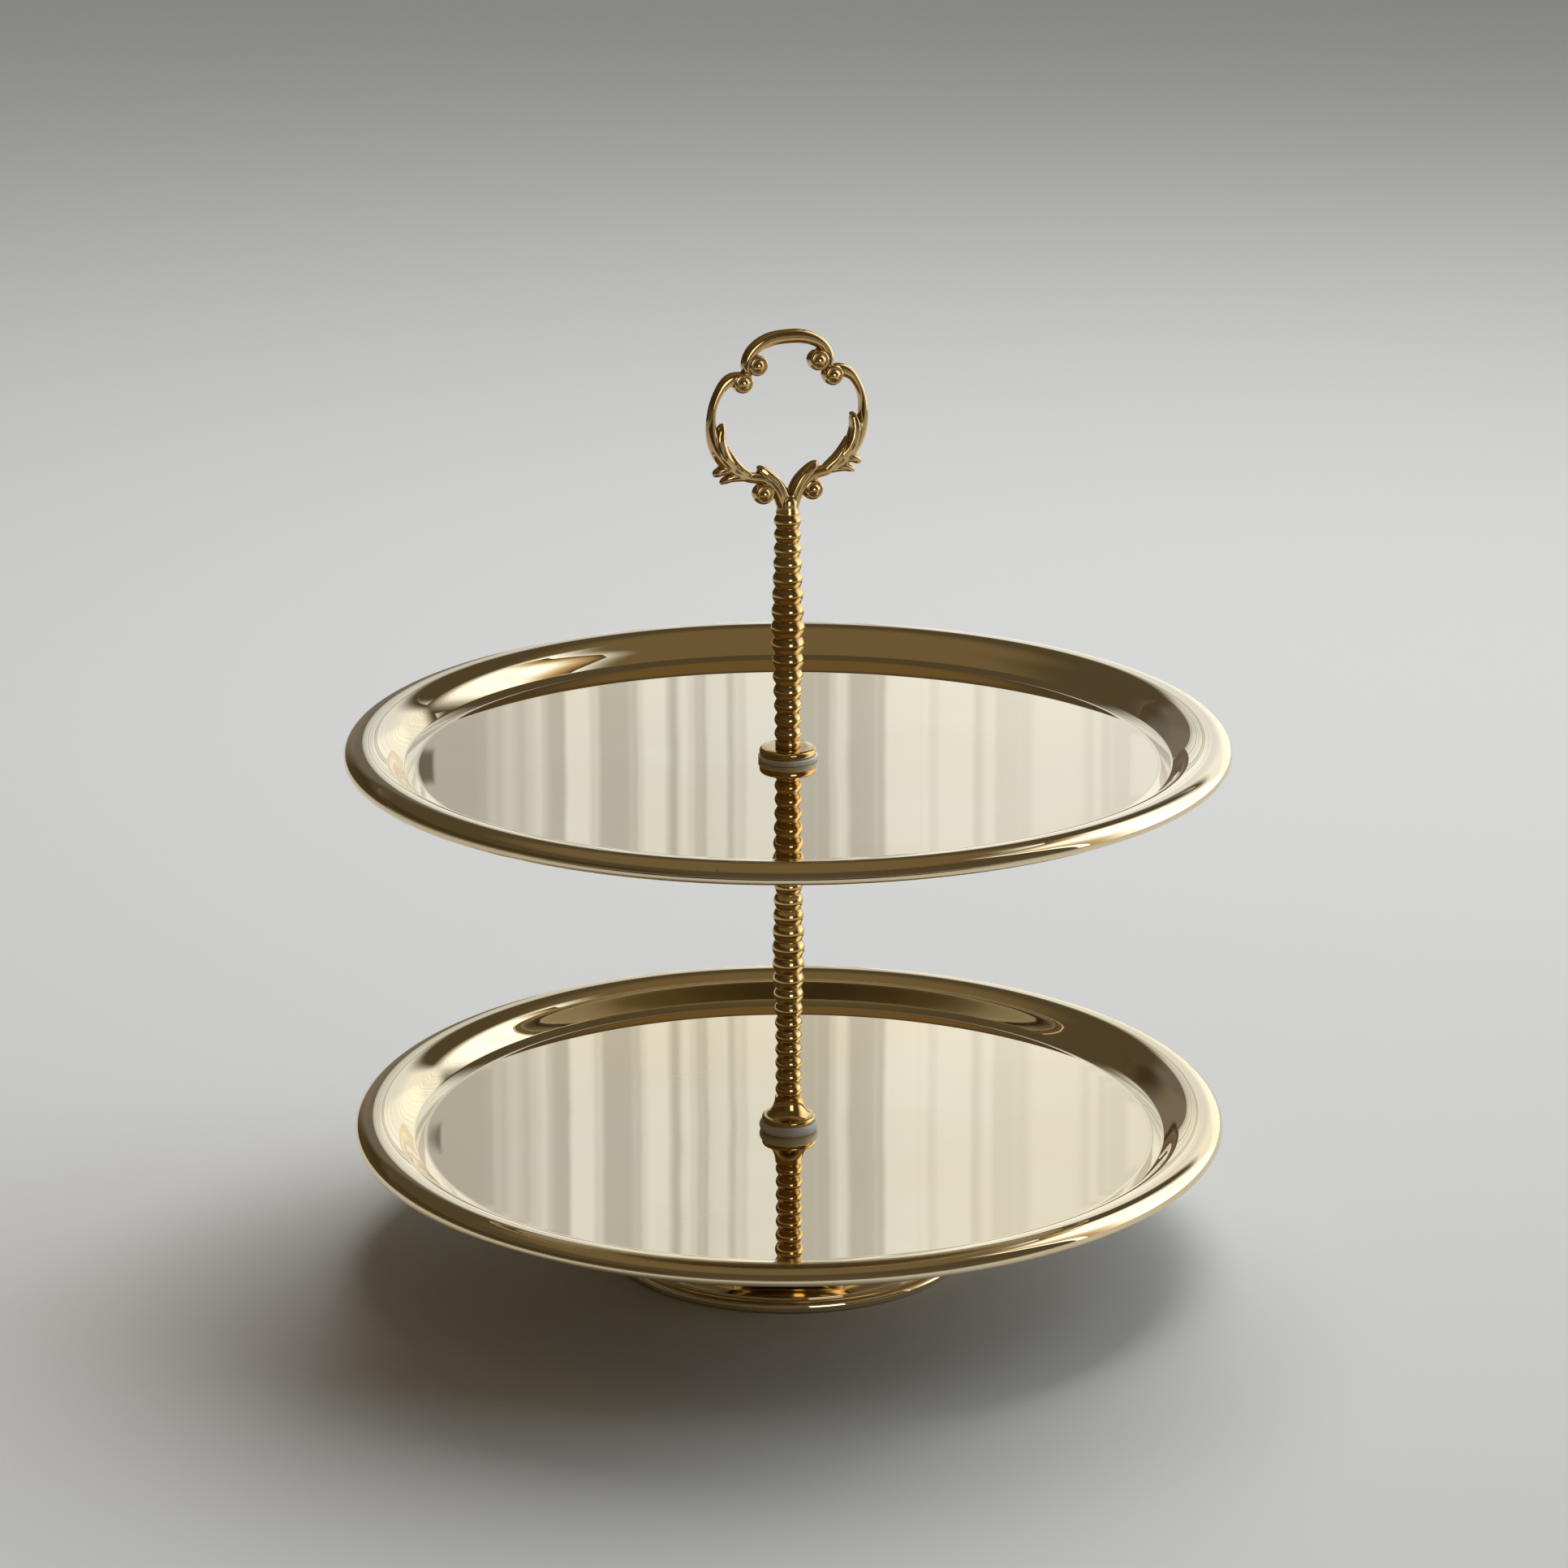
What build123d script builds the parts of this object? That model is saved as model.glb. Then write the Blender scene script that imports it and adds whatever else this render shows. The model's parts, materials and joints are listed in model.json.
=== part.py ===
# Two-tier cake stand: two round trays with rolled rims on a beaded centre post, a scrolled
# ring handle on top and a low flared foot. Millimetres, +Z up, origin on the table under
# the middle of the post. The handle's ring lies in the XZ plane.

import os
from math import sqrt

from build123d import *

os.makedirs("parts", exist_ok=True)

# Clearances
thread_clearance = 0.05   # stud or screw in a tapped or snug bore, on the radius
hole_clearance = 0.4      # stud or screw in a tray, washer, collar or foot, on the radius

# Trays, both the same pressing
tray_d = 300.0            # over the rolled rim
sheet_t = 0.9             # metal of the tray
rim_height = 9.8          # floor to the crest of the rim
rim_run = 5.7             # edge of the tray in to the crest, on the radius
rim_drop = 4.7            # crest down to the widest part of the rim
lip_r = 1.9               # lip curled under the rim
lip_turn = 130.0          # how far round the lip is curled, degrees
shoulder_run = 16.8       # edge in to where the rounded rim meets the cove
shoulder_height = 4.8
ledge_run = 20.1          # edge in to the foot of the cove
ledge_height = 1.55
ridge_run = 21.4          # edge in to the top of the low curb
ridge_height = 1.2
floor_run = 24.2          # edge in to the flat floor
floor_fillet = 4.0        # between the floor and the low curb

# Posts
stud_d = 5.0              # threaded studs and screw
post_end_d = 9.2          # over the beads near both ends of a post
post_swell_d = 11.4       # over the widest bead, half way up
swell_run = 28.6          # widest bead to where the swell has run out
bead_pitch = 5.2          # mean height of a bead
groove_depth = 0.9        # between two beads
post_ring_height = 2.4    # plain ring under the beads of the upper post
post_ring_d = 8.6
upper_post_length = 81.0
lower_post_length = 108.4
stud_engagement = 10.0    # stud in a post
bore_spare = 1.0          # bore past the end of its stud or screw

# Collars and washers
disc_d = 19.4             # flat collar under the upper post
disc_t = 2.6
disc_edge_r = 1.1
bell_d = 18.6             # bell-shaped collars
bell_height = 8.8
bell_rim_t = 2.0
bell_rim_r = 0.9
bell_shoulder = 0.8       # rim to the start of the flare
bell_neck_d = 9.4
thin_washer_d = 20.2
thin_washer_t = 1.8
thin_washer_edge = 0.5
thick_washer_d = 20.4
thick_washer_t = 3.4
thick_washer_bulge = 0.7  # how far the side swells past the flat faces
gasket_d = 24.0
gasket_t = 1.7

# Foot and its fastener
foot_d = 128.0
foot_height = 40.0
foot_t = 1.0              # metal of the foot
foot_seat_d = 27.0        # flat top that carries the gasket
foot_neck_d = 50.0
foot_neck_drop = 8.5      # seat to neck
foot_edge_r = 2.0         # rounded edge that stands on the table
foot_flange = 4.0         # flat turned in under the edge
foot_step = 0.8           # height of the step above the edge
foot_ledge = 1.0          # width of the flat between edge and step
foot_washer_d = 22.0
foot_washer_t = 1.2
screw_engagement = 12.0
screw_head_d = 9.5
screw_head_h = 3.0
screw_head_edge = 1.2
recess_length = 5.2       # cross recess in the screw's head
recess_width = 1.2
recess_depth = 1.6

# Handle: places are (across, up) from the middle of its base, on the right-hand side
stem_base_d = 8.4
stem_top_d = 7.0
stem_height = 9.5
handle_stud_depth = 6.5   # stud in the handle
pearl_r = 3.6
low_pearl = (8.9, 7.7)
side_pearl = (16.25, 45.9)
arch_pearl = (11.0, 51.3)
arm_root = (1.5, 8.0)
arm_belly = (14.0, 13.6)
arm_elbow = (24.3, 21.0)
arm_side = (27.4, 31.0)
arm_crook = (21.2, 47.0)
arm_curl = 2.2            # end of the arm above the middle of its pearl
arm_width = 3.0           # in the plane of the ring
arm_depth = 4.2           # front to back
arch_lap = (1.5, 1.4)     # foot of the arch in from and up from the end of the arm
arch_crown = 60.8         # middle of the arch at the top
arch_side_r = 7.0
arch_width = 3.7
arch_depth = 4.2

# Leaves of the handle, each a run of stations: across, up, half width, half depth
blade_leaf = [(0.8, 2.5, 2.7, 3.0), (3.6, 9.0, 2.4, 2.7), (7.4, 14.2, 1.9, 2.2), (11.4, 17.9, 0.5, 0.7)]
inner_leaf = [(19.0, 17.0, 2.0, 2.2), (23.6, 22.6, 2.0, 2.3), (24.6, 28.0, 1.6, 1.9), (23.2, 33.0, 0.5, 0.6)]
short_leaf = [(14.0, 14.6, 1.6, 2.2), (18.6, 18.8, 1.5, 2.0), (21.0, 22.4, 1.0, 1.4), (21.6, 25.0, 0.4, 0.5)]
outer_lobe = [(20.0, 17.6, 1.6, 2.2), (23.6, 17.2, 1.4, 2.0), (26.8, 15.9, 0.6, 0.8)]
lower_lobe = [(16.0, 14.4, 1.5, 2.1), (20.6, 14.2, 1.3, 1.9), (24.4, 13.1, 0.5, 0.7)]
leaves = [blade_leaf, inner_leaf, short_leaf, outer_lobe, lower_lobe]

# Heights above the table, worked out from the bottom up
lower_tray_bottom = foot_height + gasket_t
lower_washer_bottom = lower_tray_bottom + sheet_t
lower_collar_bottom = lower_washer_bottom + thick_washer_t
lower_post_bottom = lower_collar_bottom + bell_height
support_collar_bottom = lower_post_bottom + lower_post_length
support_washer_bottom = support_collar_bottom + bell_height
upper_tray_bottom = support_washer_bottom + thick_washer_t
upper_washer_bottom = upper_tray_bottom + sheet_t
upper_collar_bottom = upper_washer_bottom + thin_washer_t
upper_post_bottom = upper_collar_bottom + disc_t
handle_bottom = upper_post_bottom + upper_post_length

bore_r = stud_d / 2 + thread_clearance
hole_r = stud_d / 2 + hole_clearance


def side_plane(height):
    # Upright plane through the axis: across is +X, up is +Z
    return Plane(origin=(0, 0, height), x_dir=(1, 0, 0), z_dir=(0, -1, 0))


def make_tray(floor_bottom):
    floor_top = floor_bottom + sheet_t
    edge = tray_d / 2
    crest = (edge - rim_run, rim_height)
    # The top of the rim and its side are two arcs that meet at 45 degrees
    lean = (rim_run - rim_drop) / (sqrt(2) - 1)
    top_r = (rim_run + rim_drop + lean) / 2
    side_r = (rim_run + rim_drop - lean) / 2
    widest = rim_height - rim_drop
    shoulder = (edge - shoulder_run, shoulder_height)
    ledge = (edge - ledge_run, ledge_height)
    ridge = (edge - ridge_run, ridge_height)
    floor_edge = (edge - floor_run, 0)
    with BuildPart() as tray:
        with BuildSketch(side_plane(floor_top)):
            with BuildLine():
                FilletPolyline((hole_r, 0), floor_edge, ridge, radius=floor_fillet)
                Polyline(ridge, ledge, shoulder)
                TangentArc(crest, shoulder, tangent=(-1, 0))
                CenterArc((crest[0], rim_height - top_r), top_r, 90, -45)
                CenterArc((edge - side_r, widest), side_r, 45, -45)
                CenterArc((edge - lip_r, widest), lip_r, 0, -lip_turn)
                offset(amount=sheet_t, side=Side.RIGHT)
            make_face()
        revolve(axis=Axis.Z)
    return tray.part


def bead_sizes(length):
    # Radius over each bead: even at both ends, swelling to the middle one
    beads = round(length / bead_pitch)
    middle = (beads - 1) / 2
    reach = swell_run / bead_pitch
    swell = (post_swell_d - post_end_d) / 2
    return [post_end_d / 2 + swell * max(0, 1 - abs(k - middle) / reach) for k in range(beads)]


def make_post(bottom, length, ring_height, bottom_bore, top_bore):
    sizes = bead_sizes(length - ring_height)
    pitch = (length - ring_height) / sum(sizes)
    valleys = [sizes[0] - groove_depth]
    valleys += [min(low, high) - groove_depth for low, high in zip(sizes, sizes[1:])]
    valleys += [sizes[-1] - groove_depth]
    with BuildPart() as post:
        with BuildSketch(side_plane(bottom)):
            with BuildLine():
                height = ring_height
                if ring_height > 0:
                    Polyline((0, 0), (post_ring_d / 2, 0), (post_ring_d / 2, height), (valleys[0], height))
                else:
                    Line((0, 0), (valleys[0], 0))
                for size, low, high in zip(sizes, valleys, valleys[1:]):
                    step = pitch * size
                    ThreePointArc((low, height), (size, height + step / 2), (high, height + step))
                    height += step
                Polyline((valleys[-1], height), (0, height), (0, 0))
            make_face()
        revolve(axis=Axis.Z)
        with Locations((0, 0, bottom + length)):
            Hole(bore_r, top_bore)
        with Locations(Location((0, 0, bottom), (180, 0, 0))):
            Hole(bore_r, bottom_bore)
    return post.part


def make_bell(bottom, flare):
    # flare is 1 where the rim is at the bottom and -1 where it is at the top
    neck_r = bell_neck_d / 2
    start = flare * (bell_rim_t - bell_height / 2)
    shoulder = (bell_d / 2 - bell_rim_r - bell_shoulder, start)
    with BuildPart() as bell:
        with BuildSketch(side_plane(bottom + bell_height / 2)):
            with BuildLine():
                Polyline(
                    (neck_r, flare * bell_height / 2),
                    (hole_r, flare * bell_height / 2),
                    (hole_r, -flare * bell_height / 2),
                    (bell_d / 2, -flare * bell_height / 2),
                    (bell_d / 2, start - flare * bell_rim_r),
                )
                TangentArc(
                    (bell_d / 2, start - flare * bell_rim_r),
                    (bell_d / 2 - bell_rim_r, start),
                    tangent=(0, flare),
                )
                Line((bell_d / 2 - bell_rim_r, start), shoulder)
                TangentArc((neck_r, flare * bell_height / 2), shoulder, tangent=(0, -flare))
            make_face()
        revolve(axis=Axis.Z)
    return bell.part


def make_thick_washer(bottom):
    flat_r = thick_washer_d / 2 - thick_washer_bulge
    with BuildPart() as washer:
        with BuildSketch(side_plane(bottom)):
            with BuildLine():
                Polyline((flat_r, thick_washer_t), (hole_r, thick_washer_t), (hole_r, 0), (flat_r, 0))
                ThreePointArc(
                    (flat_r, 0), (thick_washer_d / 2, thick_washer_t / 2), (flat_r, thick_washer_t)
                )
            make_face()
        revolve(axis=Axis.Z)
    return washer.part


def leaf_plane(leaf, index):
    # Plane across a leaf at one of its stations, square to the run of its neighbours
    before = leaf[max(index - 1, 0)]
    after = leaf[min(index + 1, len(leaf) - 1)]
    across, up = leaf[index][:2]
    heading = (after[0] - before[0], 0, after[1] - before[1])
    return Plane(origin=(across, 0, handle_bottom + up), x_dir=(0, 1, 0), z_dir=heading)


# Handle, one casting: the arch's feet lap the ends of the arms
arm_end = (side_pearl[0], side_pearl[1] + arm_curl)
arch_half = arm_end[0] - arch_lap[0]
arch_foot = arm_end[1] + arch_lap[1]
with BuildPart() as handle:
    for leaf in leaves:
        for index, (across, up, half_width, half_depth) in enumerate(leaf):
            with BuildSketch(leaf_plane(leaf, index)):
                Ellipse(half_depth, half_width)
        loft()
    with BuildLine(side_plane(handle_bottom)) as arm:
        ThreePointArc(arm_root, arm_belly, arm_elbow)
        TangentArc(arm_elbow, arm_side, tangent=arm.line % 1)
        TangentArc(arm_side, arm_crook, tangent=arm.line % 1)
        TangentArc(arm_crook, arm_end, tangent=arm.line % 1)
    with BuildSketch(Plane(arm.line @ 0, x_dir=(0, 1, 0), z_dir=arm.line % 0)):
        Ellipse(arm_depth / 2, arm_width / 2)
    sweep(path=arm.line)
    with Locations(*[(across, 0, handle_bottom + up) for across, up in (low_pearl, side_pearl, arch_pearl)]):
        Sphere(pearl_r)
    mirror(about=Plane.YZ)

    # Arch between the upper pearls: a flat crown between two tighter sides
    rise = arch_crown - arch_foot
    crown_r = ((arch_half - arch_side_r) ** 2 + rise**2 - arch_side_r**2) / (2 * (rise - arch_side_r))
    crown_middle = Vector(0, arch_crown - crown_r)
    side_middle = Vector(arch_half - arch_side_r, arch_foot)
    join = crown_middle + (side_middle - crown_middle).normalized() * crown_r
    with BuildLine(side_plane(handle_bottom)) as arch:
        TangentArc((-arch_half, arch_foot), (-join.X, join.Y), tangent=(0, 1))
        ThreePointArc((-join.X, join.Y), (0, arch_crown), (join.X, join.Y))
        TangentArc((arch_half, arch_foot), (join.X, join.Y), tangent=(0, 1))
    with BuildSketch(Plane(arch.line @ 0, x_dir=(0, 1, 0), z_dir=arch.line % 0)):
        Ellipse(arch_depth / 2, arch_width / 2)
    sweep(path=arch.line)

    with BuildSketch(side_plane(handle_bottom)):
        with BuildLine():
            Polyline(
                (0, 0), (stem_base_d / 2, 0), (stem_top_d / 2, stem_height), (0, stem_height), close=True
            )
        make_face()
    revolve(axis=Axis.Z)
    with Locations(Location((0, 0, handle_bottom), (180, 0, 0))):
        Hole(bore_r, handle_stud_depth + bore_spare)
handle.part.label = "handle"
export_step(handle.part, "parts/handle.step")

# Stud fixed in the handle and screwed into the top of the upper post
with BuildPart() as handle_stud:
    with BuildSketch(Plane.XY.offset(handle_bottom - stud_engagement)):
        Circle(stud_d / 2)
    extrude(amount=stud_engagement + handle_stud_depth)
handle_stud.part.label = "handle_stud"
export_step(handle_stud.part, "parts/handle_stud.step")

# Posts
upper_post = make_post(
    upper_post_bottom,
    upper_post_length,
    post_ring_height,
    bottom_bore=stud_engagement + bore_spare,
    top_bore=stud_engagement + bore_spare,
)
upper_post.label = "upper_post"
export_step(upper_post, "parts/upper_post.step")

lower_post = make_post(
    lower_post_bottom,
    lower_post_length,
    ring_height=0,
    bottom_bore=screw_engagement + bore_spare,
    top_bore=stud_engagement + bore_spare,
)
lower_post.label = "lower_post"
export_step(lower_post, "parts/lower_post.step")

# Stud fixed in the upper post, through the upper tray and into the lower post
with BuildPart() as post_stud:
    with BuildSketch(Plane.XY.offset(support_collar_bottom - stud_engagement)):
        Circle(stud_d / 2)
    extrude(amount=upper_post_bottom - support_collar_bottom + 2 * stud_engagement)
post_stud.part.label = "post_stud"
export_step(post_stud.part, "parts/post_stud.step")

# Flat collar under the upper post, a snug fit on the stud
with BuildPart() as upper_collar:
    with BuildSketch(Plane.XY.offset(upper_collar_bottom)):
        Circle(disc_d / 2)
    extrude(amount=disc_t)
    fillet(upper_collar.edges().filter_by(GeomType.CIRCLE), disc_edge_r)
    with Locations((0, 0, upper_collar_bottom + disc_t)):
        Hole(bore_r)
upper_collar.part.label = "upper_collar"
export_step(upper_collar.part, "parts/upper_collar.step")

# Bell-shaped collars, rim up under the upper tray and rim down on the lower one
support_collar = make_bell(support_collar_bottom, flare=-1)
support_collar.label = "support_collar"
export_step(support_collar, "parts/support_collar.step")

lower_collar = make_bell(lower_collar_bottom, flare=1)
lower_collar.label = "lower_collar"
export_step(lower_collar, "parts/lower_collar.step")

# Plastic washers
with BuildPart() as upper_washer:
    with BuildSketch(Plane.XY.offset(upper_washer_bottom)):
        Circle(thin_washer_d / 2)
        Circle(hole_r, mode=Mode.SUBTRACT)
    extrude(amount=thin_washer_t)
    outer_edges = upper_washer.edges().filter_by(GeomType.CIRCLE).group_by(SortBy.RADIUS)[-1]
    fillet(outer_edges, thin_washer_edge)
upper_washer.part.label = "upper_washer"
export_step(upper_washer.part, "parts/upper_washer.step")

support_washer = make_thick_washer(support_washer_bottom)
support_washer.label = "support_washer"
export_step(support_washer, "parts/support_washer.step")

lower_washer = make_thick_washer(lower_washer_bottom)
lower_washer.label = "lower_washer"
export_step(lower_washer, "parts/lower_washer.step")

with BuildPart() as foot_gasket:
    with BuildSketch(Plane.XY.offset(foot_height)):
        Circle(gasket_d / 2)
        Circle(hole_r, mode=Mode.SUBTRACT)
    extrude(amount=gasket_t)
foot_gasket.part.label = "foot_gasket"
export_step(foot_gasket.part, "parts/foot_gasket.step")

# Trays
upper_tray = make_tray(upper_tray_bottom)
upper_tray.label = "upper_tray"
export_step(upper_tray, "parts/upper_tray.step")

lower_tray = make_tray(lower_tray_bottom)
lower_tray.label = "lower_tray"
export_step(lower_tray, "parts/lower_tray.step")

# Foot: flat seat, domed shoulder, flare, step, and a rounded edge turned in underneath
edge_middle = (foot_d / 2 - foot_edge_r, foot_edge_r)
foot_ledge_height = 2 * foot_edge_r
step_r = foot_d / 2 - foot_edge_r - foot_ledge
neck = (foot_neck_d / 2, foot_height - foot_neck_drop)
flare_end = (step_r, foot_ledge_height + foot_step)
with BuildPart() as foot:
    with BuildSketch(side_plane(0)):
        with BuildLine():
            Line((hole_r, foot_height), (foot_seat_d / 2, foot_height))
            TangentArc((foot_seat_d / 2, foot_height), neck, tangent=(1, 0))
            TangentArc(flare_end, neck, tangent=(-1, 0))
            Polyline(flare_end, (step_r, foot_ledge_height), (edge_middle[0], foot_ledge_height))
            CenterArc(edge_middle, foot_edge_r, 90, -180)
            Line((edge_middle[0], 0), (edge_middle[0] - foot_flange, 0))
            offset(amount=foot_t, side=Side.RIGHT)
        make_face()
    revolve(axis=Axis.Z)
foot.part.label = "foot"
export_step(foot.part, "parts/foot.step")

# Washer and screw inside the foot
foot_washer_bottom = foot_height - foot_t - foot_washer_t
with BuildPart() as foot_washer:
    with BuildSketch(Plane.XY.offset(foot_washer_bottom)):
        Circle(foot_washer_d / 2)
        Circle(hole_r, mode=Mode.SUBTRACT)
    extrude(amount=foot_washer_t)
foot_washer.part.label = "foot_washer"
export_step(foot_washer.part, "parts/foot_washer.step")

head_bottom = foot_washer_bottom - screw_head_h
with BuildPart() as foot_screw:
    with BuildSketch(Plane.XY.offset(head_bottom)):
        Circle(screw_head_d / 2)
    extrude(amount=screw_head_h)
    fillet(foot_screw.edges().group_by(Axis.Z)[0], screw_head_edge)
    with BuildSketch(Plane.XY.offset(head_bottom)):
        Rectangle(recess_length, recess_width)
        Rectangle(recess_width, recess_length)
    extrude(amount=recess_depth, mode=Mode.SUBTRACT)
    with BuildSketch(Plane.XY.offset(foot_washer_bottom)):
        Circle(stud_d / 2)
    extrude(amount=lower_post_bottom - foot_washer_bottom + screw_engagement)
foot_screw.part.label = "foot_screw"
export_step(foot_screw.part, "parts/foot_screw.step")
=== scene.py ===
# Two-tier cake stand: polished trays, beaded posts, scrolled handle and spun foot around the fixed frame
import json
import math

import bmesh
import bpy
import numpy as np
from mathutils import Matrix, Vector


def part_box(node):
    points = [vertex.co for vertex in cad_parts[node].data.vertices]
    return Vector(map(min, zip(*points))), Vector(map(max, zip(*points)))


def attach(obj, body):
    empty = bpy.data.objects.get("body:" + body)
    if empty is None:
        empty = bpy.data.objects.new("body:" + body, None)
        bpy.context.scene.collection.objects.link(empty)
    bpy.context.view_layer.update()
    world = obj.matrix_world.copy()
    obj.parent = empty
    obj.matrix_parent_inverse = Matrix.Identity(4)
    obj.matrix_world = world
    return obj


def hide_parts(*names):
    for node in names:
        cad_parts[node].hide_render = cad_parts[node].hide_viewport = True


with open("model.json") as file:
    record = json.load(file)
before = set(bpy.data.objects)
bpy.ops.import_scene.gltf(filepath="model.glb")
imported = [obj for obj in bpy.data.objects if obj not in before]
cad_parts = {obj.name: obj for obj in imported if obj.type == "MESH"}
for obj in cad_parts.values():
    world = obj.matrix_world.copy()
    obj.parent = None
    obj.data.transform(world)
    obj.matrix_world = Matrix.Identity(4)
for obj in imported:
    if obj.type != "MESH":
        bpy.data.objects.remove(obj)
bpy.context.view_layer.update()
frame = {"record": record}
bodyOf = {node: body for body, nodes in frame["record"]["behaviour"]["bodies"].items() for node in nodes}
mm = 0.001


# A socket that does sums: works in shader and geometry trees alike
class Wire:
    def __init__(self, tree, socket=None):
        self.tree = tree
        self.socket = socket

    def node(self, kind, settings=None, inputs=None, output=0):
        made = self.tree.nodes.new(kind)
        for key, value in (settings or {}).items():
            setattr(made, key, value)
        for key, value in (inputs or {}).items():
            if isinstance(value, Wire):
                self.tree.links.new(value.socket, made.inputs[key])
            else:
                made.inputs[key].default_value = value
        return Wire(self.tree, made.outputs[output] if len(made.outputs) else None)

    def sum(self, operation, *values):
        return self.node("ShaderNodeMath", {"operation": operation}, dict(enumerate(values)))

    def __add__(self, other):
        return self.sum("ADD", self, other)

    def __radd__(self, other):
        return self.sum("ADD", other, self)

    def __sub__(self, other):
        return self.sum("SUBTRACT", self, other)

    def __rsub__(self, other):
        return self.sum("SUBTRACT", other, self)

    def __mul__(self, other):
        return self.sum("MULTIPLY", self, other)

    def __rmul__(self, other):
        return self.sum("MULTIPLY", other, self)

    def __truediv__(self, other):
        return self.sum("DIVIDE", self, other)

    def __rtruediv__(self, other):
        return self.sum("DIVIDE", other, self)

    def __pow__(self, other):
        return self.sum("POWER", self, other)

    def __abs__(self):
        return self.sum("ABSOLUTE", self)

    def between(self, low, high):
        return self.sum("MINIMUM", self.sum("MAXIMUM", self, low), high)

    def smooth(self, low, high):
        return self.node(
            "ShaderNodeMapRange",
            {"interpolation_type": "SMOOTHSTEP"},
            {"Value": self, "From Min": low, "From Max": high},
        )

    def part(self, index):
        return Wire(self.tree, self.socket.node.outputs[index])


# Materials

def startMaterial(name):
    material = bpy.data.materials.new(name)
    material.use_nodes = True
    tree = material.node_tree
    tree.nodes.clear()
    w = Wire(tree)
    return material, w, w.node("ShaderNodeTexCoord", output="Object")


def endMaterial(w, constants, varying):
    shader = w.node("ShaderNodeBsdfPrincipled", None, {**constants, **varying})
    w.node("ShaderNodeOutputMaterial", None, {"Surface": shader})


def noise(w, place, scale, detail=2.0, roughness=0.5):
    return w.node(
        "ShaderNodeTexNoise",
        None,
        {"Vector": place, "Scale": scale, "Detail": detail, "Roughness": roughness},
    )


def turnedPlace(w, place, stretch, turn):
    return w.node(
        "ShaderNodeMapping",
        None,
        {"Vector": place, "Scale": stretch, "Rotation": (0, 0, math.radians(turn))},
    )


def mixColour(w, amount, first, second):
    return w.node(
        "ShaderNodeMix",
        {"data_type": "RGBA"},
        {"Factor": amount, 6: first, 7: second},
        output=2,
    )


def bump(w, height, distance=1.0):
    return w.node("ShaderNodeBump", None, {"Height": height, "Distance": distance, "Strength": 1.0})


# Fine hairlines from wiping, crossed at a few angles
def hairlines(w, place, turns):
    lines = 0
    for turn in turns:
        strands = noise(w, turnedPlace(w, place, (9, 700, 40), turn), 1.0, 1.0)
        patches = noise(w, place, 14 + turn / 10, 1.0)
        lines = lines + strands.smooth(0.66, 0.74) * patches.smooth(0.52, 0.66)
    return lines


trayFinish = dict(
    pale=(0.905, 0.757, 0.515, 1),
    warm=(0.885, 0.718, 0.45, 1),
    speck=(0.40, 0.32, 0.20, 1),
    roughness=0.010,
    underside=0.28,    # roughness added under the trays
    # painted shade: the tray undersides are coloured darker, standing in for the shaded floor they reflect
    dullAndShade=(0.46, 0.40, 0.28, 1),
    haze=0.014,
    wave=14e-6,        # height of the slow ripple in the sheet, metres
    spin=0.25e-6,      # height of the spinning marks
)


def makeTrayGold(name, settings):
    material, w, place = startMaterial(name)
    axes = w.node("ShaderNodeSeparateXYZ", None, {"Vector": place})
    radius = (axes * axes + axes.part(1) * axes.part(1)) ** 0.5
    rings = w.node(
        "ShaderNodeTexNoise",
        {"noise_dimensions": "1D"},
        {"W": radius, "Scale": 900.0, "Detail": 2.0},
    )
    cells = w.node("ShaderNodeTexVoronoi", None, {"Vector": place, "Scale": 34.0})
    specks = 1 - cells.smooth(0.010, 0.020)
    tint = noise(w, place, 11, 2.0)
    smudge = noise(w, place, 30, 5.0, 0.6).smooth(0.48, 0.78)
    lines = hairlines(w, place, (12, 67, 131))
    under = w.node("ShaderNodeAttribute", {"attribute_name": "underside"}, None, output="Fac")
    colour = mixColour(w, tint.smooth(0.3, 0.7), settings["pale"], settings["warm"])
    colour = mixColour(w, specks * 0.6, colour, settings["speck"])
    # painted shade on the undersides; their satin roughness is added below
    colour = mixColour(w, under, colour, settings["dullAndShade"])
    rough = settings["roughness"] + settings["haze"] * smudge + 0.03 * lines + 0.006 * rings + 0.3 * specks
    rough = rough + settings["underside"] * under
    ripple = noise(w, place, 26, 1.0) * settings["wave"] + rings * settings["spin"]
    endMaterial(
        w,
        {"Metallic": 1.0},
        {"Base Color": colour, "Roughness": rough, "Normal": bump(w, ripple)},
    )
    return material


postFinish = dict(
    bright=(0.72, 0.51, 0.225, 1),
    deep=(0.63, 0.41, 0.15, 1),
    hollowDarkTone=(0.30, 0.165, 0.05, 1),
    roughness=0.075,
    haze=0.07,
)


def makePostGold(name, settings):
    material, w, place = startMaterial(name)
    groove = w.node("ShaderNodeAttribute", {"attribute_name": "groove"}, None, output="Fac")
    tint = noise(w, place, 70, 3.0)
    # darker and rougher in the grooves, most in their deepest part
    hollowDarkening = (groove ** 3) * (0.55 + 0.6 * noise(w, place, 240, 3.0))
    smudge = noise(w, place, 160, 4.0, 0.6).smooth(0.45, 0.75)
    pits = noise(w, place, 900, 2.0)
    colour = mixColour(w, tint.smooth(0.3, 0.7), settings["bright"], settings["deep"])
    colour = mixColour(w, (hollowDarkening * 0.8).between(0, 1), colour, settings["hollowDarkTone"])
    rough = settings["roughness"] + settings["haze"] * smudge + 0.16 * hollowDarkening
    endMaterial(
        w,
        {"Metallic": 1.0},
        {"Base Color": colour, "Roughness": rough, "Normal": bump(w, pits * 4e-6)},
    )
    return material


handleFinish = dict(
    bright=(0.76, 0.54, 0.255, 1),
    deep=(0.64, 0.42, 0.175, 1),
    hollowDarkTone=(0.22, 0.12, 0.04, 1),
    roughness=0.09,
    haze=0.07,
)


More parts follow.
